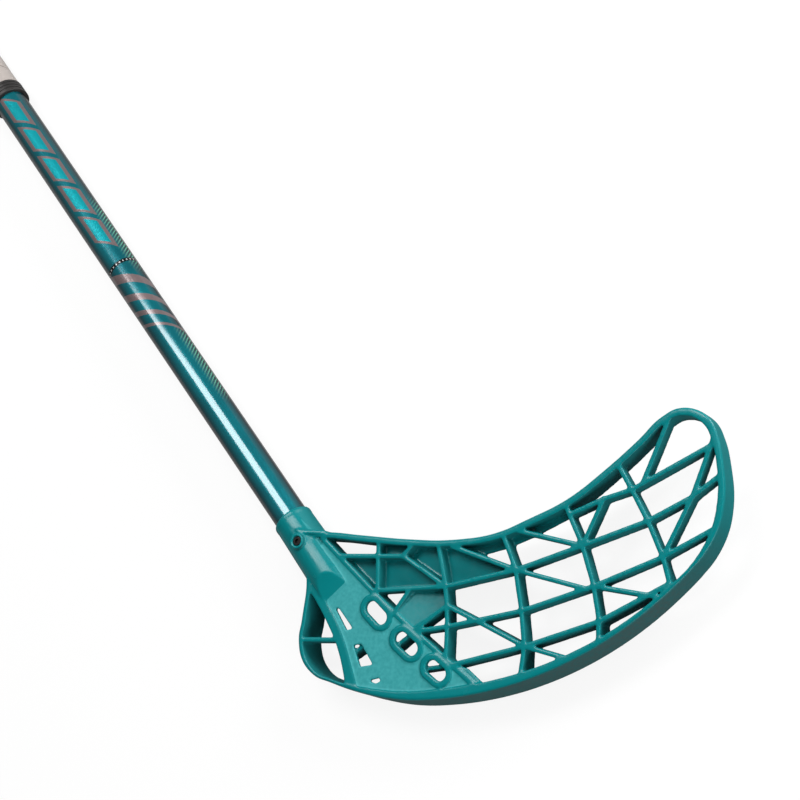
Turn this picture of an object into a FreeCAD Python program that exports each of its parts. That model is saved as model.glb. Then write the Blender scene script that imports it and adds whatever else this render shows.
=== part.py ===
import FreeCAD, Part
import math
import os

from FreeCAD import Vector

# Floorball stick lying on its back, millimetres.
# +X is the reach of the blade, +Y runs up the shaft to the butt, +Z is out of the blade's front face.
# The origin is on the shaft's axis, half way along the grip.

# Shaft
shaft_length = 920.0
insert_depth = 47.0            # length of shaft inside the blade's socket
bare_length = 429.0            # from the socket's mouth to the ring below the grip
shaft_low_diameter = 21.5
shaft_high_diameter = 23.4
shaft_wall = 1.7

# Grip tape, its end ring and the cap in the butt
tape_thickness = 1.6
tape_pitch = 26.0
seam_width = 1.2
seam_depth = 0.6
seam_samples = 24              # per turn, for the least gap between seams
ring_length = 12.3
ring_thickness = 2.3
ring_overlap = 9.0             # length of tape held down by the ring
ring_groove_depth = 0.35
ring_groove_width = 1.0
ring_groove_count = 3
cap_flange_diameter = 29.0
cap_flange_length = 6.0
cap_plug_length = 30.0
cap_plug_bore = 13.0
cap_edge_radius = 2.4
glue_gap = 0.1                 # tape, ring and cap on their seats
end_gap = 0.2                  # tape end to the cap's flange

# Blade socket
socket_clearance = 0.1         # radial, socket round the shaft
lip_diameter = 25.2
lip_length = 3.2
lip_edge = 0.6
neck_diameter = 24.8
hosel_diameter = 26.8
hosel_length = 48.0            # from the mouth to where its end slopes off
nose_length = 20.0
nose_front = 8.9               # heights at the tip of the sloping end
nose_back = 5.0
nose_hollow = 1.1              # dip of its front between the ends
nose_floor = 1.0               # behind the shaft's end, before the back slopes off
ridge_height = 12.8            # rim's front edge where it runs up onto the socket
ridge_width = 2.6

# Blade screws
screw_distance = 21.0          # below the socket's mouth
shank_diameter = 3.0
shank_length = 6.0
head_diameter = 5.6
head_height = 1.8
head_edge = 0.4
hex_width = 2.5
hex_depth = 1.1
shank_clearance = 0.05
head_clearance = 0.3
head_recess = 0.8
boss_diameter = 9.4

# Depths of the blade, measured back from its front surface
front_height = 10.0            # front surface above the shaft's axis at the heel
hook_start = 20.0              # the front is flat up to here and then curls forward
hook_radius = 1860.0
rib_recess = 0.3
heel_rib_depth = 13.0
middle_rib_depth = 10.3
tip_rib_depth = 8.8
plate_recess = 0.9             # plate behind its raised borders
plate_depth = 3.4
apron_recess = 0.1             # flat beside the plate's foot, a little thinner than it
back_rib_depth = 15.0          # ribs behind the plate and deep parts of the lowest ribs
back_rib_seat = 0.4            # their tops inside the plate
gusset_seat = 1.0              # tops of the gussets inside the cross ribs
ramp_top = 1.4                 # sloping web beside the plate: depth at its edge, fall, thickness
ramp_fall = 0.2
ramp_thickness = 2.0
web_top = 7.8
web_bottom = 9.9
heel_rim_depth = 23.0
middle_rim_depth = 18.5
tip_rim_depth = 12.5
rim_round = 1.4                # outer edges of the rim
rim_slope = 0.12               # the outer wall leans in towards the front where it faces down

# Rib widths in the front view
rib_width = 2.75
tip_rib_width = 2.8
back_rib_width = 2.5
plate_edge_width = 3.0
rib_overrun = 3.0              # ribs that end within this distance of the rim run as far into it
rim_skin = 1.8                 # rim left outside the rib ends
collar_width = 3.6             # raised border round the larger slots
collar_height = 1.0
join_tolerance = 0.01

# Rim in the front view: x, distance below the socket's mouth, width
rim_stations = [
    (0.0, 16.0, 2.8),
    (9.0, 21.0, 3.2),
    (19.6, 30.4, 3.6),
    (33.6, 45.4, 3.8),
    (57.2, 70.3, 3.9),
    (74.8, 87.1, 3.9),
    (105.3, 108.0, 4.0),
    (121.7, 114.2, 4.2),
    (144.6, 121.9, 4.2),
    (180.0, 126.7, 4.2),
    (199.2, 127.8, 4.2),
    (217.6, 128.1, 4.2),
    (227.0, 131.0, 4.4),
    (233.6, 137.5, 4.6),
    (237.1, 148.5, 4.7),
    (234.5, 161.9, 5.6),
    (228.9, 172.5, 6.1),
    (217.9, 187.5, 7.1),
    (204.5, 198.3, 7.4),
    (188.7, 204.2, 6.9),
    (175.0, 205.6, 5.9),
    (161.0, 205.7, 6.1),
    (123.0, 202.4, 6.5),
    (75.1, 190.0, 7.6),
    (45.1, 176.9, 8.2),
    (17.0, 159.9, 8.0),
    (-3.7, 143.5, 6.8),
    (-20.1, 125.5, 5.4),
    (-29.2, 113.2, 4.2),
    (-35.7, 102.9, 3.4),
    (-41.5, 92.0, 3.2),
    (-42.0, 78.8, 3.2),
    (-36.5, 67.1, 3.2),
    (-27.5, 58.8, 3.2),
    (-10.6, 41.3, 3.0),
]

# Ribs in the front view: cross ribs, long ribs, then diagonals
ribs = [
    [(40.5, 58.0), (35.5, 64.0), (23.5, 79.0)],
    [(70.0, 86.0), (58.5, 108.5), (52.3, 117.6), (45.1, 127.2), (33.7, 140.3)],
    [(104.6, 111.2), (98.2, 131.3), (86.4, 151.4), (75.4, 167.7), (64.0, 178.0)],
    [(144.4, 124.6), (137.5, 148.7), (128.3, 170.2), (118.4, 186.8), (113.4, 192.1)],
    [(16.5, 47.0), (48.0, 75.5)],
    [(21.5, 79.0), (38.5, 92.5), (58.5, 108.5), (98.2, 131.3), (137.5, 148.7), (174.9, 165.0)],
    [(28.1, 116.0), (45.1, 127.2), (86.4, 151.4), (128.3, 170.2), (168.6, 185.5)],
    [(35.3, 146.8), (75.4, 167.7), (118.4, 186.8), (158.5, 197.6)],
    [(48.0, 75.5), (57.5, 74.5)],
    [(48.0, 75.5), (58.5, 108.5)],
    [(40.0, 94.0), (25.0, 97.5)],
    [(52.3, 117.6), (30.0, 115.0)],
    [(52.3, 117.6), (62.1, 138.3), (75.4, 167.7), (89.1, 187.1)],
    [(78.0, 96.5), (98.2, 131.3), (124.0, 168.3)],
    [(128.3, 170.2), (150.3, 196.6)],
    [(115.5, 118.2), (137.5, 148.7)],
    [(163.7, 138.0), (137.5, 148.7)],
    [(-34.2, 69.3), (-16.4, 84.5)],
]
tip_ribs = [
    [(182.2, 129.5), (179.1, 145.7), (174.9, 165.0), (168.6, 185.5), (161.6, 200.2)],
    [(143.5, 130.5), (163.7, 138.0), (179.1, 145.7), (227.6, 159.9)],
    [(174.9, 165.0), (202.1, 173.0), (220.9, 175.3)],
    [(168.6, 185.5), (201.8, 194.6)],
    [(220.7, 131.9), (187.0, 147.1)],
    [(227.6, 159.9), (202.1, 173.0), (168.6, 185.5)],
]

# Ends of the ridge on the socket: x, distance below its mouth
socket_ridge = [(3.0, 15.2), (17.0, 28.4)]

# Strap plate from the socket to the bottom rim, with its slots
plate_right = [(13.0, 30.0), (17.5, 62.0), (23.0, 96.0), (31.0, 132.0), (38.5, 166.0)]
plate_left = [(-27.0, 112.0), (-17.0, 89.0), (-13.0, 68.0), (-11.5, 46.0)]
plate_foot = [(34.0, 172.0), (2.0, 148.0), (-20.0, 124.0)]
plate_apron = [(33.5, 146.0), (37.2, 149.0), (40.5, 154.2), (43.0, 167.5), (45.0, 173.0), (37.0, 170.0)]
plate_step = [(-8.0, 58.0), (-9.0, 72.0), (-12.0, 88.0), (-17.0, 103.0), (-22.5, 118.0)]
# x, distance below the mouth, length, width, angle from the shaft's line
collared_slots = [
    (14.4, 90.2, 17.0, 8.2, 8.0),
    (18.8, 117.6, 17.4, 8.4, 12.0),
    (24.3, 142.2, 14.6, 8.2, 13.5),
]
plain_slots = [
    [(-5.7, 69.0), (-4.0, 71.0), (-3.9, 86.6), (-7.6, 84.6)],
    [(-9.2, 94.8), (-4.7, 97.9), (-6.1, 112.3), (-13.3, 107.7)],
    [(-14.0, 117.7), (-7.4, 121.3), (-7.6, 123.3), (-11.1, 122.3)],
]
back_ribs = [
    [(-20.0, 96.5), (24.0, 103.0)],
    [(4.0, 112.8), (30.0, 114.5)],
    [(10.0, 130.3), (35.3, 146.8)],
    [(35.3, 146.8), (75.4, 167.7)],
    [(75.4, 167.7), (118.4, 186.8)],
    [(118.4, 186.8), (161.0, 198.2)],
]
# Lower ends of the cross ribs, which deepen towards the rim: start, end, depth at each
gussets = [
    ((74.5, 168.5), (61.5, 180.3), 14.0, 18.0),
    ((118.4, 186.8), (110.6, 195.1), 14.0, 17.6),
    ((166.6, 189.7), (160.6, 202.3), 9.0, 15.5),
]

# Thin webs between the ribs near the socket
webs = [
    [(40.5, 58.0), (70.0, 86.0), (58.5, 108.5), (23.5, 79.0)],
    [(17.0, 48.0), (35.5, 64.0), (23.5, 79.0), (19.0, 70.0)],
    [(70.0, 86.0), (78.0, 96.5), (98.2, 131.3), (58.5, 108.5)],
    [(104.6, 111.2), (115.5, 118.2), (144.4, 124.6), (143.0, 130.0), (117.0, 122.0), (104.0, 117.0)],
    [(78.0, 94.0), (84.5, 107.0), (98.6, 114.6), (104.6, 118.4), (104.6, 109.0), (90.0, 98.0)],
]
# Web that slopes down from the plate's right edge
ramp = [(24.0, 96.5), (29.5, 115.0), (52.3, 117.6), (57.5, 108.5), (40.0, 94.0)]

# Places and sizes that follow
grip_length = shaft_length - insert_depth - bare_length
mouth_y = -bare_length - grip_length / 2
shaft_end_y = mouth_y - insert_depth
ring_y = mouth_y + bare_length
butt_y = ring_y + grip_length
screw_y = mouth_y - screw_distance
shaft_low_radius = shaft_low_diameter / 2
shaft_high_radius = shaft_high_diameter / 2
socket_radius = shaft_low_radius + socket_clearance
tape_inner_radius = shaft_high_radius + glue_gap
tape_outer_radius = tape_inner_radius + tape_thickness
tape_low_y = ring_y + ring_length - ring_overlap
tape_high_y = butt_y - end_gap
screw_seat = neck_diameter / 2
boss_top = screw_seat + head_height + head_recess
cutter_reach = 60.0            # longer than the blade is deep
body_low = front_height - heel_rim_depth - rim_round
body_height = cutter_reach
blade_left = min(x for x, drop, width in rim_stations) - cutter_reach
blade_right = max(x for x, drop, width in rim_stations) + rib_overrun
blade_drop = max(drop for x, drop, width in rim_stations) + cutter_reach

Y_AXIS = Vector(0, 1, 0)
Z_AXIS = Vector(0, 0, 1)
os.makedirs("parts", exist_ok=True)


# A point of the front view, with its distance below the mouth
def on_plan(point):
    return Vector(point[0], mouth_y - point[1], 0)


def revolved(profile):
    wire = Part.makePolygon([Vector(r, y, 0) for r, y in profile + profile[:1]])
    return Part.Face(wire).revolve(Vector(0, 0, 0), Y_AXIS, 360)


def cylinder_along_z(radius, low, high, y):
    return Part.makeCylinder(radius, high - low, Vector(0, y, low), Z_AXIS)


def make_shaft():
    low = shaft_low_radius
    high = shaft_high_radius
    tube = revolved([
        (low, shaft_end_y), (low, mouth_y), (high, ring_y), (high, butt_y),
        (high - shaft_wall, butt_y), (high - shaft_wall, ring_y),
        (low - shaft_wall, mouth_y), (low - shaft_wall, shaft_end_y),
    ])
    hole_radius = shank_diameter / 2 + shank_clearance
    return tube.cut(cylinder_along_z(hole_radius, -cutter_reach, cutter_reach, screw_y))


# Front surface of the blade as a curve in the XZ plane, lowered by a depth
def front_height_at(x, depth):
    reach = max(0.0, x - hook_start)
    curl = hook_radius - math.sqrt(hook_radius ** 2 - reach ** 2)
    return Vector(x, 0, front_height + curl - depth)


def front_curve(depth):
    start = front_height_at(hook_start, depth)
    middle = front_height_at((hook_start + blade_right) / 2, depth)
    end = front_height_at(blade_right, depth)
    flat = Part.LineSegment(front_height_at(blade_left, depth), start)
    return [flat, Part.Arc(start, middle, end)]


# Back of the rim or of the ribs, whose depths lessen towards the tip
def back_curve(heel_depth, middle_depth, tip_depth):
    start = front_height_at(hook_start, heel_depth - (heel_depth - middle_depth) / 3)
    middle = front_height_at((hook_start + blade_right) / 2, middle_depth)
    end = front_height_at(blade_right, tip_depth)
    flat = Part.LineSegment(front_height_at(blade_left, heel_depth), start)
    return [flat, Part.Arc(start, middle, end)]


def slab_between(upper, lower):
    edges = [curve.toShape() for curve in upper]
    edges.append(Part.makeLine(upper[-1].EndPoint, lower[-1].EndPoint))
    edges += [curve.toShape() for curve in reversed(lower)]
    edges.append(Part.makeLine(lower[0].StartPoint, upper[0].StartPoint))
    face = Part.Face(Part.Wire(Part.__sortEdges__(edges)))
    face.translate(Vector(0, mouth_y - blade_drop, 0))
    return face.extrude(Vector(0, blade_drop + cutter_reach, 0))


def slab(top, bottom):
    return slab_between(front_curve(top), front_curve(bottom))


# A flat face of the front view, drawn out straight through the blade's whole depth
def column(face):
    base = face.copy()
    base.translate(Vector(0, 0, -cutter_reach))
    return base.extrude(Vector(0, 0, 2 * cutter_reach))


# Two tangent arcs between two points with given directions
def biarc(start, start_way, end, end_way):
    chord = end - start
    spread = 2 * (1 - start_way.dot(end_way))
    dot = chord.dot(start_way + end_way)
    arm = (math.sqrt(dot ** 2 + spread * chord.dot(chord)) - dot) / spread
    first = start + start_way * arm
    second = end - end_way * arm
    joint = (first + second) / 2
    return [tangent_arc(start, first, joint), tangent_arc(joint, second, end)]


def tangent_arc(start, corner, end):
    middle = (start + end) / 2
    half = (end - start).Length / 2
    lean = math.acos(half / (corner - start).Length)
    crown = middle + (corner - middle).normalize() * half * math.tan(lean / 2)
    return Part.Arc(start, crown, end).toShape()


# Direction at a point of the circle that also runs through its two neighbours
def way_through(before, here, after):
    behind = here - before
    ahead = after - here
    return (behind / behind.Length ** 2 + ahead / ahead.Length ** 2).normalize()


def end_way(end, neighbour, neighbour_way):
    chord = (neighbour - end).normalize()
    return chord * (2 * chord.dot(neighbour_way)) - neighbour_way


def arcs_along(points, ways):
    edges = []
    for index in range(len(points) - 1):
        edges += biarc(points[index], ways[index], points[index + 1], ways[index + 1])
    return edges


def smooth_loop(points):
    ring = points[-1:] + points + points[:1]
    ways = [way_through(*ring[index:index + 3]) for index in range(len(points))]
    return Part.Wire(arcs_along(points + points[:1], ways + ways[:1]))


def ways_along(points):
    ways = [way_through(*points[index:index + 3]) for index in range(len(points) - 2)]
    first = end_way(points[0], points[1], ways[0])
    last = end_way(points[-1], points[-2], ways[-1])
    return [first] + ways + [last]


def smooth_run(plan_points):
    points = [on_plan(point) for point in plan_points]
    return Part.Wire(arcs_along(points, ways_along(points)))


# A strip of even width along a smooth run, half its width longer at each end
def band(plan_points, width):
    points = [on_plan(point) for point in plan_points]
    ways = ways_along(points)
    points[0] = points[0] - ways[0] * (width / 2)
    points[-1] = points[-1] + ways[-1] * (width / 2)
    sides = [way.cross(Z_AXIS) * (width / 2) for way in ways]
    left = [point - side for point, side in zip(points, sides)]
    right = [point + side for point, side in zip(points, sides)]
    edges = arcs_along(left, ways) + arcs_along(right, ways)
    edges += [Part.makeLine(left[0], right[0]), Part.makeLine(left[-1], right[-1])]
    return Part.Face(Part.Wire(Part.__sortEdges__(edges)))


# The rim's outline, moved inwards by a share of its width, a fixed distance and a lean where it faces down
def rim_outline(share, inset=0.0, lean=0.0):
    outer = [on_plan(station) for station in rim_stations]
    ring = outer[-1:] + outer + outer[:1]
    points = []
    for index, station in enumerate(rim_stations):
        way = way_through(*ring[index:index + 3])
        inward = Vector(way.y, -way.x, 0)
        move = share * station[2] + inset + lean * max(0.0, inward.y)
        points.append(outer[index] + inward * move)
    return Part.Face(smooth_loop(points))


def strip(start, end, width):
    along = (end - start).normalize()
    side = along.cross(Z_AXIS) * (width / 2)
    tail = start - along * (width / 2)
    nose = end + along * (width / 2)
    return Part.Face(Part.makePolygon([tail + side, nose + side, nose - side, tail - side, tail + side]))


def rib_strips(points, width, rim_edge):
    places = [on_plan(point) for point in points]
    for end, inner in ((0, 1), (-1, -2)):
        if Part.Vertex(places[end]).distToShape(rim_edge)[0] < rib_overrun:
            places[end] = places[end] + (places[end] - places[inner]).normalize() * rib_overrun
    return [strip(start, end, width) for start, end in zip(places, places[1:])]


def joined(faces):
    columns = [column(face) for face in faces]
    return columns[0].multiFuse(columns[1:]).removeSplitter()


def slot_face(x, drop, length, width, angle):
    run = (length - width) / 2
    half = width / 2
    left = Part.makeLine(Vector(-half, -run, 0), Vector(-half, run, 0))
    top = Part.Arc(Vector(-half, run, 0), Vector(0, run + half, 0), Vector(half, run, 0)).toShape()
    right = Part.makeLine(Vector(half, run, 0), Vector(half, -run, 0))
    foot = Part.Arc(Vector(half, -run, 0), Vector(0, -run - half, 0), Vector(-half, -run, 0)).toShape()
    face = Part.Face(Part.Wire([left, top, right, foot]))
    face.rotate(Vector(0, 0, 0), Z_AXIS, angle)
    face.translate(on_plan((x, drop)))
    return face


def plate_outline():
    foot = [on_plan(point) for point in plate_right[-1:] + plate_foot + plate_left[:1]]
    edges = smooth_run(plate_right).Edges + smooth_run(plate_left).Edges
    edges += [Part.makeLine(start, end) for start, end in zip(foot, foot[1:])]
    edges.append(Part.makeLine(on_plan(plate_left[-1]), on_plan(plate_right[0])))
    return Part.Face(Part.Wire(Part.__sortEdges__(edges)))


# Raised border along the plate's left side
def border_outline():
    edges = smooth_run(plate_left).Edges + smooth_run(plate_step).Edges
    edges.append(Part.makeLine(on_plan(plate_left[-1]), on_plan(plate_step[0])))
    edges.append(Part.makeLine(on_plan(plate_step[-1]), on_plan(plate_left[0])))
    return Part.Face(Part.Wire(Part.__sortEdges__(edges)))


# Everything inside the rim's outer wall, from below its back to above its front
def rim_body():
    foot = rim_outline(0.0).OuterWire
    head = rim_outline(0.0, lean=rim_slope * body_height).OuterWire
    foot.translate(Z_AXIS * body_low)
    head.translate(Z_AXIS * (body_low + body_height))
    return Part.makeLoft([foot, head], True, True)


def make_rim():
    back = back_curve(heel_rim_depth, middle_rim_depth, tip_rim_depth)
    block = rim_body().common(slab_between(front_curve(0.0), back))
    upright = [edge for edge in block.Edges if abs(edge.tangentAt(edge.FirstParameter).z) > 0.9]
    lines = [line.hashCode() for line in upright]
    sides = [face for face in block.Faces if any(edge.hashCode() in lines for edge in face.Edges)]
    edges = [edge for face in sides for edge in face.Edges if edge.hashCode() not in lines]
    return block.makeFillet(rim_round, edges).cut(column(rim_outline(1.0)))


def make_ribs(inside):
    strips = [band(plate_right, plate_edge_width), band(plate_left, plate_edge_width)]
    rim_edge = rim_outline(1.0).OuterWire
    for points in ribs:
        strips += rib_strips(points, rib_width, rim_edge)
    for points in tip_ribs:
        strips += rib_strips(points, tip_rib_width, rim_edge)
    back = back_curve(heel_rib_depth, middle_rib_depth, tip_rib_depth)
    room = inside.common(slab_between(front_curve(rib_recess), back))
    return joined(strips).common([room], join_tolerance)


def make_collar(x, drop, length, width, angle):
    border = slot_face(x, drop, length + 2 * collar_width, width + 2 * collar_width, angle)
    return column(border).common(slab(plate_recess - collar_height, plate_depth / 2))


def plan_face(points):
    return Part.Face(Part.makePolygon([on_plan(point) for point in points + points[:1]]))


def make_plate(inside):
    plate = column(plate_outline()).common(inside.common(slab(plate_recess, plate_depth)))
    border = column(border_outline()).common(inside.common(slab(rib_recess, plate_depth)))
    apron_room = slab(plate_recess + apron_recess, plate_depth - apron_recess)
    apron = column(plan_face(plate_apron)).common(inside.common(apron_room))
    plate = plate.multiFuse([border, apron] + [make_collar(*slot) for slot in collared_slots])
    slots = [slot_face(*slot) for slot in collared_slots] + [plan_face(slot) for slot in plain_slots]
    for slot in slots:
        plate = plate.cut(column(slot))
    return plate


def make_back_ribs(inside):
    strips = [strip(on_plan(start), on_plan(end), back_rib_width) for start, end in back_ribs]
    return joined(strips).common(inside.common(slab(plate_depth - back_rib_seat, back_rib_depth)))


def make_gusset(start, end, start_depth, end_depth):
    upper, lower = on_plan(start), on_plan(end)
    side = (lower - upper).normalize().cross(Z_AXIS) * back_rib_width
    top = tip_rib_depth - gusset_seat
    corners = []
    for point, depth in ((upper, top), (lower, top), (lower, end_depth), (upper, start_depth)):
        corners.append(point - side / 2 + Z_AXIS * front_height_at(point.x, depth).z)
    return Part.Face(Part.makePolygon(corners + corners[:1])).extrude(side)


def make_gussets(inside):
    return [make_gusset(*gusset).common(inside) for gusset in gussets]


def make_webs():
    return joined([plan_face(web) for web in webs]).common(slab(web_top, web_bottom))


def make_ramp():
    edge, foot = [on_plan(point) for point in ramp[:2]]
    outward = (foot - edge).cross(Z_AXIS).normalize() * -1
    places = []
    for point in [on_plan(point) for point in ramp]:
        depth = ramp_top + ramp_fall * (point - edge).dot(outward)
        places.append(point + Z_AXIS * (front_height - depth))
    return Part.Face(Part.makePolygon(places + places[:1])).extrude(Z_AXIS * -ramp_thickness)


# Low ridge that takes the rim's front edge up onto the socket
def make_ridge():
    start, end = [on_plan(point) for point in socket_ridge]
    side = [(start.x, ridge_height), (end.x, front_height), (end.x, 0), (start.x, 0)]
    wedge = Part.Face(Part.makePolygon([Vector(x, 0, z) for x, z in side + side[:1]]))
    wedge.translate(Vector(0, end.y - ridge_width, 0))
    block = wedge.extrude(Vector(0, start.y - end.y + 2 * ridge_width, 0))
    return column(strip(start, end, ridge_width)).common(block)


def make_lattice():
    inside = column(rim_outline(0.0, rim_skin, rim_slope * heel_rim_depth))
    panels = [make_plate(inside), make_back_ribs(inside), make_webs(), make_ramp(), make_ridge()]
    return make_rim().multiFuse([make_ribs(inside)] + panels + make_gussets(inside))


# Everything beyond a slope from the hosel's surface to a height at its tip, in front or behind
def nose_cutter(side, start_y, tip_height, hollow):
    radius = hosel_diameter / 2
    start = Vector(-radius, start_y, side * radius)
    tip = Vector(-radius, mouth_y - hosel_length - nose_length, tip_height)
    dip = (start + tip) / 2 - Z_AXIS * (side * hollow)
    slope = Part.Arc(start, dip, tip).toShape() if hollow else Part.makeLine(start, tip)
    beyond = [Vector(-radius, end.y, side * cutter_reach) for end in (tip, start)]
    sides = [Part.makeLine(a, b) for a, b in zip([tip] + beyond, beyond + [start])]
    return Part.Face(Part.Wire([slope] + sides)).extrude(Vector(hosel_diameter, 0, 0))


def make_hosel():
    neck = neck_diameter / 2
    lip = lip_diameter / 2
    tip_y = mouth_y - hosel_length - nose_length
    hosel = revolved([
        (0.0, mouth_y), (lip - lip_edge, mouth_y), (lip, mouth_y - lip_edge),
        (lip, mouth_y - lip_length), (neck, mouth_y - lip_length - (lip - neck)),
        (hosel_diameter / 2, mouth_y - hosel_length), (hosel_diameter / 2, tip_y), (0.0, tip_y),
    ])
    hosel = hosel.cut(nose_cutter(1, mouth_y - hosel_length, nose_front, nose_hollow))
    return hosel.cut(nose_cutter(-1, shaft_end_y - nose_floor, nose_back, 0.0))


def make_blade():
    body = make_lattice().fuse(make_hosel())
    body = body.fuse(cylinder_along_z(boss_diameter / 2, -boss_top, boss_top, screw_y))
    socket = Part.makeCylinder(socket_radius, insert_depth, Vector(0, shaft_end_y, 0), Y_AXIS)
    body = body.cut(socket)
    hole_radius = shank_diameter / 2 + shank_clearance
    head_radius = head_diameter / 2 + head_clearance
    for side in (1, -1):
        seat = Vector(0, screw_y, side * screw_seat)
        body = body.cut(Part.makeCylinder(hole_radius, screw_seat, Vector(0, screw_y, 0), Z_AXIS * side))
        body = body.cut(Part.makeCylinder(head_radius, cutter_reach, seat, Z_AXIS * side))
    return body


def hexagon(width, height):
    corner = width / math.sqrt(3)
    turns = [math.radians(60 * index) for index in range(7)]
    return Part.Face(Part.makePolygon([
        Vector(corner * math.cos(turn), corner * math.sin(turn), height) for turn in turns
    ]))


def make_screw(side):
    top = screw_seat + head_height
    head = cylinder_along_z(head_diameter / 2, screw_seat, top, 0)
    rounds = [edge for edge in head.Edges if edge.BoundBox.XLength > head_diameter / 2]
    upper = [edge for edge in rounds if edge.CenterOfMass.z > screw_seat + head_edge]
    head = head.makeFillet(head_edge, upper)
    shank = cylinder_along_z(shank_diameter / 2, screw_seat - shank_length, screw_seat, 0)
    recess = hexagon(hex_width, top - hex_depth).extrude(Z_AXIS * (hex_depth + head_height))
    screw = head.fuse(shank).cut(recess).removeSplitter()
    if side < 0:
        screw.rotate(Vector(0, 0, 0), Y_AXIS, 180)
    screw.translate(Vector(0, screw_y, 0))
    return screw


# Helix of half turns round the shaft, where neighbouring turns of the tape meet
def seam_path(turns):
    climb = tape_pitch / (2 * math.pi * tape_outer_radius)
    places = []
    ways = []
    for index in range(2 * turns + 1):
        angle = math.pi * index
        out = Vector(math.cos(angle), 0, math.sin(angle))
        way = Vector(-math.sin(angle), climb, math.cos(angle)).normalize()
        places.append(out * tape_outer_radius + Y_AXIS * (tape_low_y + tape_pitch * index / 2))
        ways.append(way)
    return Part.Wire(arcs_along(places, ways))


def make_tape():
    tape = revolved([
        (tape_inner_radius, tape_low_y), (tape_outer_radius, tape_low_y),
        (tape_outer_radius, tape_high_y), (tape_inner_radius, tape_high_y),
    ])
    turns = int((tape_high_y - tape_low_y) / tape_pitch) + 1
    path = seam_path(turns)
    points = path.discretize(turns * seam_samples)
    least = min((a - b).Length for i, a in enumerate(points) for b in points[i + seam_samples // 2:])
    print("tape turns", turns, "least gap between seams", round(least - seam_width, 2))
    place = path.Edges[0].firstVertex().Point
    out = Vector(place.x, 0, place.z).normalize()
    side = path.Edges[0].tangentAt(0).cross(out).normalize()
    lips = place + out * seam_depth
    vee = [lips + side * seam_width, place - out * seam_depth, lips - side * seam_width]
    section = Part.makePolygon(vee + vee[:1])
    seam = path.makePipeShell([section], True, False)
    return tape.cut(seam)


def make_ring():
    outer = shaft_high_radius + glue_gap + ring_thickness
    over_tape = tape_outer_radius + glue_gap
    on_shaft = shaft_high_radius + glue_gap
    top = ring_y + ring_length
    edge = ring_groove_depth
    ring = revolved([
        (on_shaft, ring_y), (outer - edge, ring_y), (outer, ring_y + edge),
        (outer, top - edge), (outer - edge, top),
        (over_tape, top), (over_tape, tape_low_y - end_gap), (on_shaft, tape_low_y - end_gap),
    ])
    step = ring_length / (ring_groove_count + 1)
    for index in range(ring_groove_count):
        middle = ring_y + step * (index + 1)
        ring = ring.cut(revolved([
            (outer - ring_groove_depth, middle - ring_groove_width / 2),
            (outer + ring_groove_depth, middle - ring_groove_width / 2),
            (outer + ring_groove_depth, middle + ring_groove_width / 2),
            (outer - ring_groove_depth, middle + ring_groove_width / 2),
        ]))
    return ring


def make_cap():
    plug = shaft_high_radius - shaft_wall - glue_gap
    flange = cap_flange_diameter / 2
    top = butt_y + cap_flange_length
    cap = revolved([
        (0.0, butt_y), (plug, butt_y), (flange, butt_y), (flange, top), (0.0, top),
    ])
    rounds = [edge for edge in cap.Edges if edge.BoundBox.XLength > flange]
    outer = [edge for edge in rounds if edge.CenterOfMass.y > butt_y + cap_edge_radius]
    cap = cap.makeFillet(cap_edge_radius, outer)
    stem = revolved([
        (cap_plug_bore / 2, butt_y - cap_plug_length), (plug, butt_y - cap_plug_length),
        (plug, butt_y), (cap_plug_bore / 2, butt_y),
    ])
    return cap.fuse(stem).removeSplitter()


pieces = {
    "shaft_tube": make_shaft(),
    "blade": make_blade(),
    "blade_screw_front": make_screw(1),
    "blade_screw_back": make_screw(-1),
    "grip_wrap": make_tape(),
    "grip_end_ring": make_ring(),
    "butt_cap": make_cap(),
}
for name, shape in pieces.items():
    solids = shape.Solids
    body = solids[0] if len(solids) == 1 else shape
    print(name, "solids", len(solids), "valid", shape.isValid(), "volume", round(shape.Volume, 1))
    body.exportStep("parts/" + name + ".step")
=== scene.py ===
import bmesh
import bpy
import math
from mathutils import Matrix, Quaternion, Vector


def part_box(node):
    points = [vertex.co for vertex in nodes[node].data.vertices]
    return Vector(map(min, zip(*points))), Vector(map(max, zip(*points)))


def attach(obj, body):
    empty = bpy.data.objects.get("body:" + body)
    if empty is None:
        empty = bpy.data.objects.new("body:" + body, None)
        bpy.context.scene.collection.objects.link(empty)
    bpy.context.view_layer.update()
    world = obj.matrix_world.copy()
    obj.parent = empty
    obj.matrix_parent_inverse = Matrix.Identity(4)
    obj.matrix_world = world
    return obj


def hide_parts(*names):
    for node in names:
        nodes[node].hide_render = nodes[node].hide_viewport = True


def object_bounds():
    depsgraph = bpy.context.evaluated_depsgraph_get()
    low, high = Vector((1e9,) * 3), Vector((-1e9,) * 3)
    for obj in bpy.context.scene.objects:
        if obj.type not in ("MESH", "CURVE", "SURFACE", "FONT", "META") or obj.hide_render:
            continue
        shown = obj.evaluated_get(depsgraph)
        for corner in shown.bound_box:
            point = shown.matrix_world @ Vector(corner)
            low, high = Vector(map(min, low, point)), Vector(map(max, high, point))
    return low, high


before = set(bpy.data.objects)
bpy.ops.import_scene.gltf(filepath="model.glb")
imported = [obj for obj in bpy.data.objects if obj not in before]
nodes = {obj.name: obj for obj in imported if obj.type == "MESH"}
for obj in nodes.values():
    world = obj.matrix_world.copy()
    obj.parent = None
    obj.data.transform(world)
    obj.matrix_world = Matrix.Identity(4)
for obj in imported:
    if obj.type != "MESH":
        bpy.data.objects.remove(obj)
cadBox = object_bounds()
scene = bpy.context.scene
mouthY = -0.651                           # mouth of the blade's socket
print("frame loaded:", ", ".join(sorted(nodes)))


# colours are written as they look on screen, 0 to 255
def paint(red, green, blue):
    def linear(value):
        value = value / 255
        return value / 12.92 if value < 0.04045 else ((value + 0.055) / 1.055) ** 2.4
    return (linear(red), linear(green), linear(blue), 1.0)


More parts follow.
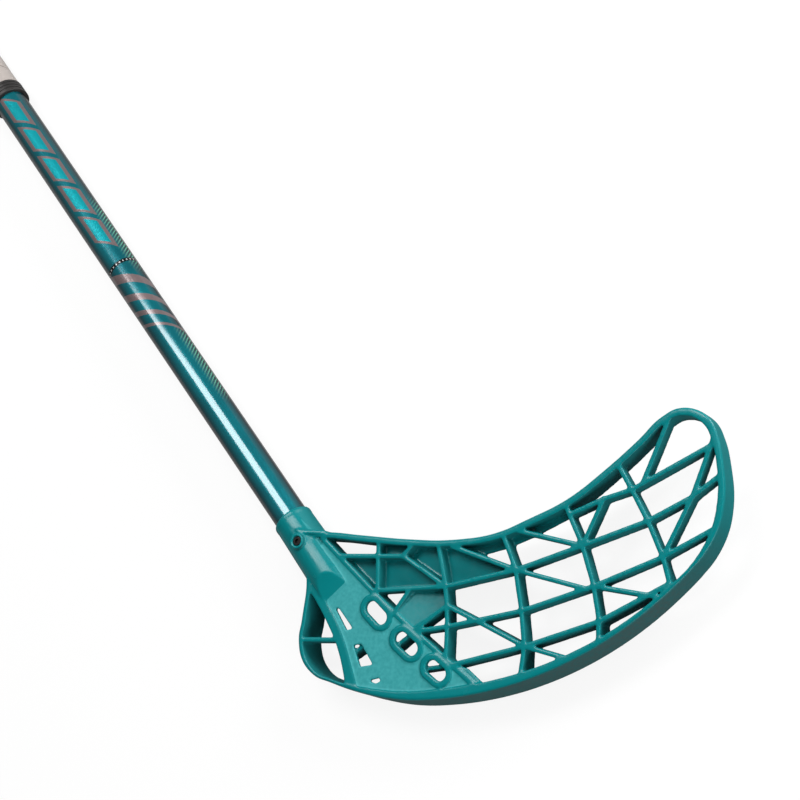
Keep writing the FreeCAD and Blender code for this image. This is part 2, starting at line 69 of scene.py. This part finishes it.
def newMaterial(name):
    material = bpy.data.materials.new(name)
    material.use_nodes = True
    tree = material.node_tree
    return material, tree, tree.nodes["Principled BSDF"]


def addNode(tree, kind, **settings):
    node = tree.nodes.new("ShaderNode" + kind)
    for name, value in settings.items():
        setattr(node, name, value)
    return node


# joins another node's output to a socket, or sets a plain value on it
def feed(tree, socket, value):
    if isinstance(value, bpy.types.NodeSocket):
        tree.links.new(value, socket)
    else:
        socket.default_value = value


def setPlain(shader, values):
    for name, value in values.items():
        shader.inputs[name].default_value = value


def calc(tree, operation, *values, kind="Math"):
    node = addNode(tree, kind, operation=operation)
    for socket, value in zip(node.inputs, values):
        feed(tree, socket, value)
    return node.outputs[0]


def allOf(tree, *masks):
    result = masks[0]
    for mask in masks[1:]:
        result = calc(tree, "MULTIPLY", result, mask)
    return result


def under(tree, value, limit):
    return calc(tree, "LESS_THAN", value, limit)


def over(tree, value, limit):
    return calc(tree, "GREATER_THAN", value, limit)


def between(tree, value, low, high):
    return allOf(tree, over(tree, value, low), under(tree, value, high))


def distance(tree, value, middle):
    return calc(tree, "ABSOLUTE", calc(tree, "SUBTRACT", value, middle))


def mixColour(tree, share, low, high):
    node = addNode(tree, "Mix", data_type="RGBA")
    feed(tree, node.inputs[0], share)
    feed(tree, node.inputs[6], low)       # the two colour sockets
    feed(tree, node.inputs[7], high)
    return node.outputs[2]


def spread(tree, value, fromLow, fromHigh, low, high):
    node = addNode(tree, "MapRange")
    for socket, number in zip(node.inputs, (value, fromLow, fromHigh, low, high)):
        feed(tree, socket, number)
    return node.outputs[0]


def objectPlace(tree):
    return addNode(tree, "TexCoord").outputs["Object"]


def split(tree, vector):
    node = addNode(tree, "SeparateXYZ")
    tree.links.new(vector, node.inputs[0])
    return node.outputs


def noise(tree, place, scale, detail):
    node = addNode(tree, "TexNoise")
    tree.links.new(place, node.inputs["Vector"])
    node.inputs["Scale"].default_value = scale
    node.inputs["Detail"].default_value = detail
    return node.outputs["Fac"]


def cells(tree, place, scale):
    node = addNode(tree, "TexVoronoi")
    tree.links.new(place, node.inputs["Vector"])
    node.inputs["Scale"].default_value = scale
    return node.outputs


def bump(tree, height, strength, depth, normal=None):
    node = addNode(tree, "Bump")
    node.inputs["Strength"].default_value = strength
    node.inputs["Distance"].default_value = depth
    tree.links.new(height, node.inputs["Height"])
    if normal:
        tree.links.new(normal, node.inputs["Normal"])
    return node.outputs["Normal"]


def wear(obj, material):
    obj.data.materials.clear()
    obj.data.materials.append(material)


def addObject(name, data):
    obj = bpy.data.objects.new(name, data)
    scene.collection.objects.link(obj)
    return obj


# in all settings a noise is its scale and detail, a bump its strength and depth,
# and an In or Out pair the two ends of a range before or after it is spread

# blade: moulded plastic with soft edges
blade = {
    "voxel": 0.0005,                      # grid of the moulded skin
    "softening": 12,                      # rounds of smoothing
    "softFactor": 0.5,
    "teal": paint(0, 119, 122),
    "teal2": paint(0, 108, 112),
    "toneNoise": (14, 3),                 # slow change of tone along the moulding
    "wall": paint(0, 104, 107),           # painted shade: side walls darker than level faces; they are also rougher
    "wallTilt": (0.15, 0.85),             # upright part of the normal, from side walls to level faces
    "wallMatt": 0.5,
    "paintedPlateSheen": paint(52, 148, 151),         # painted sheen: lighter plate colour over its fine mould texture
    "frostNoise": (420, 4),
    "frostIn": (0.35, 0.65),
    "frostOut": (0.65, 1.0),
    "frostMatt": 0.32,
    "plateLow": 0.0080,
    "plateHigh": 0.0094,
    "plateSlope": 0.19,                   # the plate's right-hand edge runs out below the socket
    "plateStart": 0.0065,
    "rampLow": 0.0030,                    # sloping web beside the plate
    "rampFrom": 0.0955,
    "rampTo": 0.1180,
    "rampEnd": 0.056,
    "paintedUndersideShade": paint(58, 88, 88),         # painted shade on the outer wall of the lower edge
    "lowerEdge": (0.1465, 0.9029, -6.198, 29.67, -72.64),   # its distance below the socket, as powers of x
    "undersideShadeReach": 0.0045,
    "undersideShadeTilt": (-0.2, -0.5),            # part of the normal towards the ground
    "undersideShadeEnd": (0.150, 0.205),           # the painted shade ends below the tip
    "edge": paint(30, 156, 158),          # lighter teal on sharp convex edges
    "edgeIn": (0.52, 0.62),
    "edgeOut": (0, 0.5),
    "satinNoise": (90, 4),
    "satinIn": (0.3, 0.7),
    "satinOut": (0.20, 0.28),
    "rippleNoise": (60, 2),
    "rippleBump": (0.12, 0.002),
    "grainNoise": (2600, 2),
    "grainBump": (0.10, 0.0004),
    "plain": {"Specular IOR Level": 0.25},
}


def plateMasks(tree, x, z, drop, flat):
    edge = calc(tree, "ADD", calc(tree, "MULTIPLY", drop, blade["plateSlope"]), blade["plateStart"])
    plate = allOf(tree, between(tree, z, blade["plateLow"], blade["plateHigh"]), under(tree, x, edge), flat)
    ramp = allOf(tree, between(tree, z, blade["rampLow"], blade["plateHigh"]),
                 under(tree, x, blade["rampEnd"]), over(tree, x, edge),
                 between(tree, drop, blade["rampFrom"], blade["rampTo"]), flat)
    return plate, ramp


# painted shade on the outer wall of the lower edge, where it faces down
def undersideShadeMask(tree, x, drop, facingY):
    rimDrop = 0
    for number in reversed(blade["lowerEdge"]):
        rimDrop = calc(tree, "ADD", calc(tree, "MULTIPLY", rimDrop, x), number)
    outside = over(tree, drop, calc(tree, "SUBTRACT", rimDrop, blade["undersideShadeReach"]))
    down = spread(tree, facingY, *blade["undersideShadeTilt"], 0, 1)
    ending = spread(tree, x, *blade["undersideShadeEnd"], 1, 0)
    return allOf(tree, outside, down, ending)


def bladePlastic():
    material, tree, shader = newMaterial("bladePlastic")
    place = objectPlace(tree)
    x, y, z = split(tree, place)
    shape = addNode(tree, "NewGeometry")
    facing = split(tree, shape.outputs["Normal"])
    sides = spread(tree, calc(tree, "ABSOLUTE", facing["Z"]), *blade["wallTilt"], 1, 0)
    drop = calc(tree, "SUBTRACT", mouthY, y)              # metres below the socket's mouth
    plate, ramp = plateMasks(tree, x, z, drop, calc(tree, "SUBTRACT", 1.0, sides))
    mottle = spread(tree, noise(tree, place, *blade["frostNoise"]), *blade["frostIn"], *blade["frostOut"])

    colour = mixColour(tree, noise(tree, place, *blade["toneNoise"]), blade["teal"], blade["teal2"])
    # painted sheen: lighter teal on the plate, in mottled patches
    colour = mixColour(tree, allOf(tree, plate, mottle), colour, blade["paintedPlateSheen"])
    # painted shade: the side walls take a darker teal
    colour = mixColour(tree, sides, colour, blade["wall"])
    # painted shade: darker outer wall along the lower edge, in mottled patches
    undersideShade = allOf(tree, undersideShadeMask(tree, x, drop, facing["Y"]), sides, mottle)
    colour = mixColour(tree, undersideShade, colour, blade["paintedUndersideShade"])
    # lighter teal where the skin is sharply convex
    convexEdges = spread(tree, shape.outputs["Pointiness"], *blade["edgeIn"], *blade["edgeOut"])
    feed(tree, shader.inputs["Base Color"], mixColour(tree, convexEdges, colour, blade["edge"]))

    satin = spread(tree, noise(tree, place, *blade["satinNoise"]), *blade["satinIn"], *blade["satinOut"])
    frosted = allOf(tree, calc(tree, "MAXIMUM", plate, ramp), mottle)
    matt = calc(tree, "MAXIMUM", calc(tree, "MULTIPLY", sides, blade["wallMatt"]),
                calc(tree, "MULTIPLY", frosted, blade["frostMatt"]))
    feed(tree, shader.inputs["Roughness"], calc(tree, "ADD", satin, matt))
    ripples = bump(tree, noise(tree, place, *blade["rippleNoise"]), *blade["rippleBump"])
    grain = bump(tree, noise(tree, place, *blade["grainNoise"]), *blade["grainBump"], ripples)
    feed(tree, shader.inputs["Normal"], grain)
    setPlain(shader, blade["plain"])
    return material


bladeNode = nodes["blade"]
wear(bladeNode, bladePlastic())
remesh = bladeNode.modifiers.new("mouldedSkin", "REMESH")
remesh.mode = "VOXEL"
remesh.voxel_size = blade["voxel"]
remesh.use_smooth_shade = True
soften = bladeNode.modifiers.new("softEdges", "SMOOTH")
soften.factor = blade["softFactor"]
soften.iterations = blade["softening"]
print("blade dressed")


# shaft: metallic lacquer with printed bars, stripes, hatches and a length mark
shaft = {
    "radius": 0.0113,
    "printCentre": 0.37,                  # angle of the print's middle line from the front
    "lacquer": paint(0, 86, 96),
    "bright": paint(0, 136, 145),
    "toneNoise": (30, 2),
    "toneIn": (0.3, 0.7),
    "toneOut": (0, 0.25),
    "roughOut": (0.26, 0.34),
    "paintedFlankShade": paint(0, 30, 36),            # painted shade: the colour darkens round the sides
    "flankShadeIn": (0.0062, 0.0128),
    "hatch": paint(96, 176, 150),         # fine lines on the right-hand side
    "hatches": ((0.1325, 0.0380), (0.2640, 0.0420)),   # middle and half length
    "hatchPeriod": 0.0031,
    "hatchLine": 0.38,                    # printed share of the period
    "hatchFull": 0.6,                     # share of the half length before it fades
    "hatchFrom": (0.0050, 0.0105),
    "hatchTo": (0.0125, 0.0200),
    "hatchStrength": 0.75,
    "silver": paint(112, 98, 99),
    "barStart": 0.254,
    "barPeriod": 0.0345,
    "barLength": 0.029,
    "barWidth": 0.0130,
    "barSlant": 1.1,
    "barLine": 0.0027,
    "barCount": 5,
    "stripes": ((0.2205, 0.0085), (0.2015, 0.0065), (0.1860, 0.0045), (0.1740, 0.0028)),   # middle and width
    "stripeSlant": 0.75,
    "stripeReach": 0.0165,                # to either side of the print's middle line
    "black": paint(10, 10, 12),
    "pale": paint(200, 205, 205),
    "markAt": 0.2365,
    "markWidth": 0.0030,
    "dashWidth": 0.0012,
    "dashesPerRadian": 4.0,
    "dashShare": 0.3,
    "flakeScale": 4200,
    "flakeTilt": 0.22,
    "plain": {"Metallic": 0.3, "Specular IOR Level": 0.02,
              "Coat Weight": 1.0, "Coat IOR": 1.6, "Coat Roughness": 0.13},
}


def hatchMask(tree, side, up):
    lines = calc(tree, "FRACT", calc(tree, "DIVIDE", calc(tree, "SUBTRACT", up, side), shaft["hatchPeriod"]))
    lengths = 0
    for middle, reach in shaft["hatches"]:
        fade = spread(tree, distance(tree, up, middle), reach * shaft["hatchFull"], reach, 1, 0)
        lengths = calc(tree, "MAXIMUM", lengths, fade)
    return allOf(tree, under(tree, lines, shaft["hatchLine"]), lengths,
                 spread(tree, side, *shaft["hatchFrom"], 0, shaft["hatchStrength"]),
                 spread(tree, side, *shaft["hatchTo"], 1, 0))


# whole bars, and the fields inside their outlines
def barMasks(tree, side, up, sideways):
    along = calc(tree, "ADD", calc(tree, "SUBTRACT", up, shaft["barStart"]),
                 calc(tree, "MULTIPLY", side, shaft["barSlant"]))
    count = calc(tree, "DIVIDE", along, shaft["barPeriod"])
    reach = calc(tree, "MULTIPLY", distance(tree, calc(tree, "FRACT", count), 0.5), shaft["barPeriod"])
    halfLength, halfWidth = shaft["barLength"] / 2, shaft["barWidth"] / 2
    outer = allOf(tree, between(tree, count, 0, shaft["barCount"]),
                  under(tree, reach, halfLength), under(tree, sideways, halfWidth))
    inner = allOf(tree, outer, under(tree, reach, halfLength - shaft["barLine"]),
                  under(tree, sideways, halfWidth - shaft["barLine"]))
    return outer, inner


# diagonal stripes that thin out towards the blade
def stripeMask(tree, side, up, sideways):
    lean = calc(tree, "ADD", up, calc(tree, "MULTIPLY", side, shaft["stripeSlant"]))
    stripes = 0
    for middle, width in shaft["stripes"]:
        stripe = between(tree, lean, middle - width / 2, middle + width / 2)
        stripes = calc(tree, "MAXIMUM", stripes, stripe)
    return allOf(tree, stripes, under(tree, sideways, shaft["stripeReach"]))


# the band of the length mark, and its dashes
def markMasks(tree, turn, up):
    off = distance(tree, up, shaft["markAt"])
    beat = calc(tree, "FRACT", calc(tree, "MULTIPLY", turn, shaft["dashesPerRadian"]))
    dashes = allOf(tree, under(tree, off, shaft["dashWidth"] / 2), under(tree, beat, shaft["dashShare"]))
    return under(tree, off, shaft["markWidth"] / 2), dashes


# metal flakes tilt the base coat a little each way, under a smooth clear coat
def flakeNormal(tree, place):
    tilt = shaft["flakeTilt"]
    flakes = cells(tree, place, shaft["flakeScale"])["Color"]
    lean = calc(tree, "MULTIPLY_ADD", flakes, (tilt,) * 3, (-tilt / 2,) * 3, kind="VectorMath")
    level = addNode(tree, "NewGeometry").outputs["Normal"]
    return calc(tree, "NORMALIZE", calc(tree, "ADD", level, lean, kind="VectorMath"), kind="VectorMath")


def shaftLacquer():
    material, tree, shader = newMaterial("shaftLacquer")
    place = objectPlace(tree)
    x, y, z = split(tree, place)
    turn = calc(tree, "SUBTRACT", calc(tree, "ARCTAN2", x, z), shaft["printCentre"])
    side = calc(tree, "MULTIPLY", turn, shaft["radius"])  # metres round the shaft
    sideways = calc(tree, "ABSOLUTE", side)
    up = calc(tree, "SUBTRACT", y, mouthY)                # metres above the socket's mouth
    flow = noise(tree, place, *shaft["toneNoise"])
    bars, fields = barMasks(tree, side, up, sideways)
    mark, dashes = markMasks(tree, turn, up)

    tone = spread(tree, flow, *shaft["toneIn"], *shaft["toneOut"])
    colour = mixColour(tree, tone, shaft["lacquer"], shaft["bright"])
    # painted shade: darker lacquer towards the sides, away from the print's middle line
    colour = mixColour(tree, spread(tree, sideways, *shaft["flankShadeIn"], 0, 1), colour, shaft["paintedFlankShade"])
    colour = mixColour(tree, hatchMask(tree, side, up), colour, shaft["hatch"])
    colour = mixColour(tree, bars, colour, shaft["silver"])
    colour = mixColour(tree, fields, colour, shaft["bright"])
    colour = mixColour(tree, stripeMask(tree, side, up, sideways), colour, shaft["silver"])
    colour = mixColour(tree, mark, colour, shaft["black"])
    feed(tree, shader.inputs["Base Color"], mixColour(tree, dashes, colour, shaft["pale"]))

    feed(tree, shader.inputs["Roughness"], spread(tree, flow, *shaft["toneIn"], *shaft["roughOut"]))
    feed(tree, shader.inputs["Normal"], flakeNormal(tree, place))
    setPlain(shader, shaft["plain"])
    return material


wear(nodes["shaft_tube"], shaftLacquer())
print("shaft dressed")


# grip: one long strip of soft tape wound up the shaft
grip = {
    "pitch": 0.026,
    "thickness": 0.0016,
    "steps": 96,                          # round the shaft
    "across": (0.0, 0.012, 0.03, 0.055, 0.10, 0.20, 0.35, 0.5, 0.65, 0.80, 0.90, 0.945, 0.97, 0.988),
    "seamDepth": 0.0007,
    "seamWidth": 0.022,                   # share of the pitch
    "crown": 0.00016,
    "tape": paint(162, 154, 149),
    "tape2": paint(150, 142, 137),
    "toneNoise": (120, 4),
    "seam": paint(98, 90, 84),
    "seamIn": (0.012, 0.03),
    "seamStrength": 0.85,
    "poreScale": 1300,
    "poreBump": (0.25, 0.0003),
    "grainNoise": (700, 3),
    "grainBump": (0.15, 0.0004),
    "plain": {"Roughness": 0.72, "Sheen Weight": 0.15, "Sheen Roughness": 0.5},
}


def tapeProfile(share):
    edge = min(share, 1 - share)
    drop = grip["seamDepth"] * math.exp(-(edge / grip["seamWidth"]) ** 2)
    return -drop - grip["crown"] * (1 - math.sin(math.pi * share))


def stripRows(mesh, start, turns, radius):
    steps = grip["steps"]
    rows = []
    for turn in range(-1, turns):
        for share in grip["across"]:
            reach = radius + tapeProfile(share)
            row = []
            for step in range(steps):
                angle = 2 * math.pi * step / steps
                height = start + grip["pitch"] * (turn + share + step / steps)
                row.append(mesh.verts.new((reach * math.cos(angle), height, reach * math.sin(angle))))
            rows.append(row)
    return rows


def skinRows(mesh, rows):
    last = grip["steps"] - 1
    jump = len(grip["across"])            # one turn further up the strip
    for index in range(len(rows) - jump - 1):
        here, above = rows[index], rows[index + 1]
        for step in range(last):
            mesh.faces.new((here[step], above[step], above[step + 1], here[step + 1]))
        mesh.faces.new((here[last], above[last], rows[index + jump + 1][0], rows[index + jump][0]))


def cutEnds(mesh, low, high):
    for level, direction in ((low, -1), (high, 1)):
        parts = mesh.verts[:] + mesh.edges[:] + mesh.faces[:]
        bmesh.ops.bisect_plane(mesh, geom=parts, plane_co=(0, level, 0),
                               plane_no=(0, direction, 0), clear_outer=True)


def closeInside(mesh, inner):
    rims = [edge for edge in mesh.edges if edge.is_boundary]
    turned = bmesh.ops.extrude_edge_only(mesh, edges=rims)["geom"]
    for vert in (item for item in turned if isinstance(item, bmesh.types.BMVert)):
        scale = inner / math.hypot(vert.co.x, vert.co.z)
        vert.co.x *= scale
        vert.co.z *= scale
    inside = [edge for edge in mesh.edges if edge.is_boundary]
    bmesh.ops.bridge_loops(mesh, edges=inside)
    bmesh.ops.recalc_face_normals(mesh, faces=mesh.faces[:])


def windTape():
    low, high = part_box("grip_wrap")
    radius = high.x
    turns = int((high.y - low.y) / grip["pitch"]) + 2     # enough to run past both ends
    mesh = bmesh.new()
    skinRows(mesh, stripRows(mesh, low.y, turns, radius))
    cutEnds(mesh, low.y, high.y)
    closeInside(mesh, radius - grip["thickness"])
    data = bpy.data.meshes.new("gripTape")
    mesh.to_mesh(data)
    mesh.free()
    data.shade_smooth()
    return addObject("gripTape", data)


def gripTape():
    material, tree, shader = newMaterial("gripTape")
    place = objectPlace(tree)
    x, y, z = split(tree, place)
    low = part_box("grip_wrap")[0].y
    angle = calc(tree, "DIVIDE", calc(tree, "ARCTAN2", z, x), 2 * math.pi)
    climb = calc(tree, "DIVIDE", calc(tree, "SUBTRACT", y, low), grip["pitch"])
    share = calc(tree, "FRACT", calc(tree, "SUBTRACT", climb, angle))     # place across the strip
    edge = calc(tree, "MINIMUM", share, calc(tree, "SUBTRACT", 1.0, share))
    colour = mixColour(tree, noise(tree, place, *grip["toneNoise"]), grip["tape"], grip["tape2"])
    seam = spread(tree, edge, *grip["seamIn"], grip["seamStrength"], 0)
    feed(tree, shader.inputs["Base Color"], mixColour(tree, seam, colour, grip["seam"]))
    pores = bump(tree, cells(tree, place, grip["poreScale"])["Distance"], *grip["poreBump"])
    grain = bump(tree, noise(tree, place, *grip["grainNoise"]), *grip["grainBump"], pores)
    feed(tree, shader.inputs["Normal"], grain)
    setPlain(shader, grip["plain"])
    return material


tape = windTape()
wear(tape, gripTape())
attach(tape, "stick")
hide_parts("grip_wrap")
print("grip wound")


# black rubber of the ring and the butt cap
rubber = {
    "black": paint(26, 25, 25),
    "dust": paint(52, 50, 49),
    "dustNoise": (160, 4),
    "roughNoise": (300, 3),
    "roughIn": (0.3, 0.7),
    "roughOut": (0.30, 0.45),
    "grainNoise": (1800, 3),
    "grainBump": (0.2, 0.0003),
}


def blackRubber():
    material, tree, shader = newMaterial("blackRubber")
    place = objectPlace(tree)
    dust = noise(tree, place, *rubber["dustNoise"])
    feed(tree, shader.inputs["Base Color"], mixColour(tree, dust, rubber["black"], rubber["dust"]))
    rough = noise(tree, place, *rubber["roughNoise"])
    feed(tree, shader.inputs["Roughness"], spread(tree, rough, *rubber["roughIn"], *rubber["roughOut"]))
    grain = noise(tree, place, *rubber["grainNoise"])
    feed(tree, shader.inputs["Normal"], bump(tree, grain, *rubber["grainBump"]))
    return material


# blackened screws
screw = {
    "steel": paint(44, 42, 42),
    "worn": paint(92, 90, 88),            # bare metal on the edges
    "edgeIn": (0.52, 0.6),
    "wornNoise": (900, 3),
    "wornIn": (0.4, 0.6),
    "roughNoise": (1500, 3),
    "roughIn": (0.3, 0.7),
    "roughOut": (0.3, 0.5),
    "grainNoise": (2600, 2),
    "grainBump": (0.15, 0.0002),
    "plain": {"Metallic": 0.85},
}


def blackenedSteel():
    material, tree, shader = newMaterial("blackenedSteel")
    place = objectPlace(tree)
    edges = spread(tree, addNode(tree, "NewGeometry").outputs["Pointiness"], *screw["edgeIn"], 0, 1)
    patches = spread(tree, noise(tree, place, *screw["wornNoise"]), *screw["wornIn"], 0, 1)
    worn = allOf(tree, edges, patches)
    feed(tree, shader.inputs["Base Color"], mixColour(tree, worn, screw["steel"], screw["worn"]))
    rough = noise(tree, place, *screw["roughNoise"])
    feed(tree, shader.inputs["Roughness"], spread(tree, rough, *screw["roughIn"], *screw["roughOut"]))
    grain = noise(tree, place, *screw["grainNoise"])
    feed(tree, shader.inputs["Normal"], bump(tree, grain, *screw["grainBump"]))
    setPlain(shader, screw["plain"])
    return material


rubberSkin = blackRubber()
for name in ("grip_end_ring", "butt_cap"):
    wear(nodes[name], rubberSkin)
screwSkin = blackenedSteel()
for name in ("blade_screw_front", "blade_screw_back"):
    wear(nodes[name], screwSkin)
print("rubber and screws dressed")


# floor, light and camera
studio = {
    "floorSize": 6.0,
    "floorMiddle": -0.5,                  # along the stick
    "floor": paint(244, 244, 244),
    "bounce": paint(120, 120, 120),       # what the floor throws back on the stick
    "floorRoughness": 0.9,
    "shadowShare": 0.12,
    "glossShare": 0.15,
    "skyColour": (1.0, 0.99, 0.98, 1.0),
    "sky": 0.10,                          # what the sky throws on the stick
    "skyGloss": 0.04,
    "backdrop": 0.92,                     # how bright the sky looks
    "softboxes": (
        # name, place, aim, width, length, power
        ("keySoftbox", (0.60, 0.62, 2.00), (0.60, 0.52, 0.0), 1.64, 0.88, 54),
        ("topSoftbox", (0.9, -1.0, 1.3), (0.10, -0.72, 0.0), 0.8, 0.8, 4),
        ("sideSoftbox", (1.30, -0.55, 0.4), (0.12, -0.72, 0.0), 0.6, 0.6, 18),
        ("frontSoftbox", (0.15, -1.80, 0.45), (0.10, -0.80, 0.0), 0.9, 0.5, 7),
    ),
}


# 1 where the camera looks, straight or through a clear piece, and less in reflections
def seenShare(tree, path, glossShare):
    gloss = calc(tree, "MULTIPLY", path["Is Glossy Ray"], glossShare)
    seen = calc(tree, "MAXIMUM", path["Is Camera Ray"], gloss)
    return calc(tree, "MAXIMUM", seen, path["Is Transmission Ray"])


def paleFloor():
    material, tree, shader = newMaterial("paleFloor")
    path = addNode(tree, "LightPath").outputs
    tone = mixColour(tree, path["Is Camera Ray"], studio["bounce"], studio["floor"])
    feed(tree, shader.inputs["Base Color"], tone)
    shader.inputs["Roughness"].default_value = studio["floorRoughness"]
    seen = seenShare(tree, path, studio["glossShare"])
    white = addNode(tree, "Emission")
    mix = addNode(tree, "MixShader")
    tree.links.new(calc(tree, "MULTIPLY", seen, 1 - studio["shadowShare"]), mix.inputs[0])
    tree.links.new(shader.outputs[0], mix.inputs[1])
    tree.links.new(white.outputs[0], mix.inputs[2])
    tree.links.new(mix.outputs[0], tree.nodes["Material Output"].inputs["Surface"])
    return material


def layFloor():
    half = studio["floorSize"] / 2
    near, far = studio["floorMiddle"] - half, studio["floorMiddle"] + half
    level = cadBox[0][2]
    data = bpy.data.meshes.new("floor")
    corners = [(-half, near, level), (half, near, level), (half, far, level), (-half, far, level)]
    data.from_pydata(corners, [], [(0, 1, 2, 3)])
    floor = addObject("floor", data)
    wear(floor, paleFloor())


def hangSoftboxes():
    for name, place, aim, width, length, power in studio["softboxes"]:
        lamp = bpy.data.lights.new(name, "AREA")
        lamp.shape = "RECTANGLE"
        lamp.size = width
        lamp.size_y = length
        lamp.energy = power
        holder = addObject(name, lamp)
        holder.location = place
        holder.rotation_euler = (Vector(aim) - Vector(place)).to_track_quat("-Z", "Y").to_euler()


def setSky():
    world = bpy.data.worlds.new("studioSky")
    scene.world = world
    world.use_nodes = True
    tree = world.node_tree
    sky = tree.nodes["Background"]
    sky.inputs["Color"].default_value = studio["skyColour"]
    seen = seenShare(tree, addNode(tree, "LightPath").outputs, studio["skyGloss"])
    feed(tree, sky.inputs["Strength"], spread(tree, seen, 0, 1, studio["sky"], studio["backdrop"]))


viewpoint = {
    "place": (0.32426, -1.12524, 0.81755),
    "aim": (0.10158, -0.64455, 0.0),
    "roll": math.radians(-66.13),
    "lens": 72,
    "sensor": 36,                         # width of the square frame
}


def setCamera():
    camera = bpy.data.cameras.new("photoCamera")
    camera.lens = viewpoint["lens"]
    camera.sensor_width = viewpoint["sensor"]
    holder = addObject("photoCamera", camera)
    place = Vector(viewpoint["place"])
    turn = (Vector(viewpoint["aim"]) - place).to_track_quat("-Z", "Y")
    holder.rotation_mode = "QUATERNION"
    holder.rotation_quaternion = turn @ Quaternion((0, 0, 1), viewpoint["roll"])
    holder.location = place
    scene.camera = holder


layFloor()
hangSoftboxes()
setSky()
setCamera()
scene.view_settings.view_transform = "Standard"
print("studio set")
